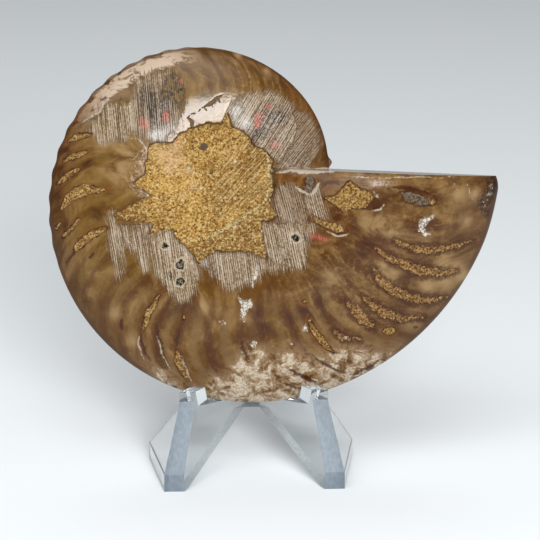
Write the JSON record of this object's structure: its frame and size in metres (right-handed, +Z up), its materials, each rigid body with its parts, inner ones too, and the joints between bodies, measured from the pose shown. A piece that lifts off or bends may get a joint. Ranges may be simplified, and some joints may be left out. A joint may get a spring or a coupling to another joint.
{
  "type": "fossil ammonite",
  "caption": "Polished half of a fossil ammonite, brown and tan with a sandstone centre, leaning on a small clear acrylic easel.",
  "frame": {"origin": "middle of the whole piece's box, on the surface it stands on", "axes": "+Z up, +Y to the back (the shell's shown face looks to -Y), +X towards the cut mouth of the shell"},
  "size_m": [0.127, 0.0318, 0.1208],
  "materials": {
    "ammonite_stone": "polished, with sanded patches and a rough sandstone fill",
    "clear_acrylic": "clear, flame-polished edges"
  },
  "bodies": {
    "root": {"ammonite": "ammonite_stone", "stand": "clear_acrylic"}
  },
  "joints": []
}
